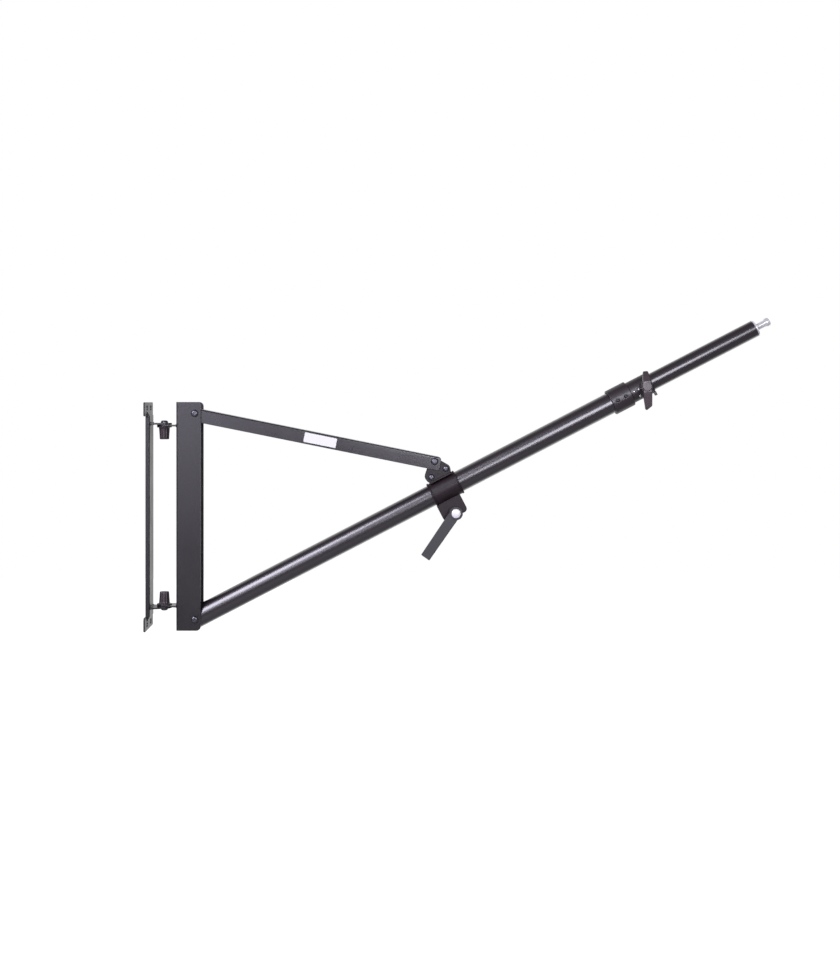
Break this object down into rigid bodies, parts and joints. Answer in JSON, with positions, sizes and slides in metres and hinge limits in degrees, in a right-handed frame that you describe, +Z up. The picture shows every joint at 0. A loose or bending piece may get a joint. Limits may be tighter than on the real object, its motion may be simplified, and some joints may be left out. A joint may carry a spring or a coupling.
{
  "type": "wall boom arm",
  "caption": "Wall-mounted swinging boom arm with a telescopic tube, a sliding brace and a spigot for a lamp.",
  "frame": {"origin": "centre of the wall plate's back, on the wall", "axes": "+X out from the wall into the room, along which the boom reaches; +Z up, along the swing axis; +Y away from the side with the levers"},
  "size_m": [1.1682, 0.0968, 0.5854],
  "materials": {
    "satin_black": "semi-gloss black powder coat",
    "gloss_black": "gloss black paint",
    "black_plastic": "moulded black plastic",
    "cast_black": "black powder coat on a casting",
    "lever_grey": "matt grey paint on a casting",
    "bright_steel": "bright nickel plate",
    "black_steel": "blackened steel",
    "nylon": "natural nylon",
    "aluminium": "turned",
    "brass": "turned"
  },
  "bodies": {
    "wall": {"wall_plate": "satin_black", "upper_wall_ear": "satin_black", "lower_wall_ear": "satin_black", "upper_hinge_bolt": "black_steel", "lower_hinge_bolt": "black_steel"},
    "post": {"post_channel": "satin_black", "upper_post_ear": "satin_black", "lower_post_ear": "satin_black", "boom_root_bolt": "black_steel", "boom_root_nut": "bright_steel", "near_boom_root_washer": "nylon", "far_boom_root_washer": "nylon", "brace_root_bolt": "black_steel", "brace_root_nut": "bright_steel", "near_brace_root_washer": "nylon", "far_brace_root_washer": "nylon", "brace_root_spacer": "bright_steel"},
    "upper_knob": {"upper_hinge_knob": "black_plastic"},
    "lower_knob": {"lower_hinge_knob": "black_plastic"},
    "boom": {"outer_tube": "satin_black", "boom_root_plug": "black_plastic", "guide_bush": "nylon", "reducer_sleeve": "cast_black", "rear_reducer_screw": "black_steel", "front_reducer_screw": "black_steel", "lock_collar": "cast_black", "rear_collar_rivet": "bright_steel", "front_collar_rivet": "bright_steel", "lower_collar_rivet": "bright_steel", "lock_pad": "brass"},
    "tee": {"tee_handle": "black_plastic", "tee_stud": "bright_steel"},
    "extension": {"inner_tube": "satin_black", "tail_bush": "nylon", "tip_plug": "aluminium", "spigot": "bright_steel"},
    "collar": {"slide_liner": "black_plastic", "clamp_collar": "cast_black", "collar_saddle": "cast_black", "near_bracket_plate": "satin_black", "far_bracket_plate": "satin_black", "front_bracket_bolt": "black_steel", "front_bracket_nut": "bright_steel", "rear_bracket_bolt": "black_steel", "rear_bracket_nut": "bright_steel", "bracket_spacer": "bright_steel", "clamp_bolt": "black_steel", "lever_washer": "bright_steel"},
    "lever": {"clamp_lever": "lever_grey", "lever_cap": "bright_steel"},
    "brace": {"brace_channel": "gloss_black", "brace_tip_bolt": "black_steel", "brace_tip_nut": "bright_steel"}
  },
  "joints": [
    {"name": "post_swing", "type": "hinge", "parent": "wall", "child": "post", "pos_m": [0.032, 0, 0], "axis": [0, 0, 1], "range_deg": [-85, 85]},
    {"name": "upper_knob_turn", "type": "hinge", "parent": "wall", "child": "upper_knob", "pos_m": [0.032, 0, 0.16665], "axis": [0, 0, -1], "range_deg": [0, 360]},
    {"name": "lower_knob_turn", "type": "hinge", "parent": "wall", "child": "lower_knob", "pos_m": [0.032, 0, -0.16665], "axis": [0, 0, 1], "range_deg": [0, 360]},
    {"name": "boom_tilt", "type": "hinge", "parent": "post", "child": "boom", "pos_m": [0.0915, 0, -0.1915], "axis": [0, -1, 0], "range_deg": [-12, 12]},
    {"name": "collar_slide", "type": "slide", "parent": "boom", "child": "collar", "axis": [0.8881, 0, 0.4596], "range_m": [-0.1, 0.1]},
    {"name": "brace_swing", "type": "hinge", "parent": "collar", "child": "brace", "pos_m": [0.53749, 0, 0.10189], "axis": [0, -1, 0], "range_deg": [-6, 6]},
    {"name": "lever_turn", "type": "hinge", "parent": "collar", "child": "lever", "pos_m": [0.57679, 0, 0.00602], "axis": [0, -1, 0], "range_deg": [0, 150]},
    {"name": "tee_turn", "type": "hinge", "parent": "boom", "child": "tee", "pos_m": [0.92724, 0, 0.24097], "axis": [0, -1, 0], "range_deg": [0, 360]},
    {"name": "extension_slide", "type": "slide", "parent": "boom", "child": "extension", "axis": [0.8881, 0, 0.4596], "range_m": [-0.21, 0.54]}
  ],
  "couplings": [
    {"joint": "collar_slide", "follows": "boom_tilt", "m_per_rad": 0.473},
    {"joint": "brace_swing", "follows": "boom_tilt", "ratio": 0.486}
  ]
}
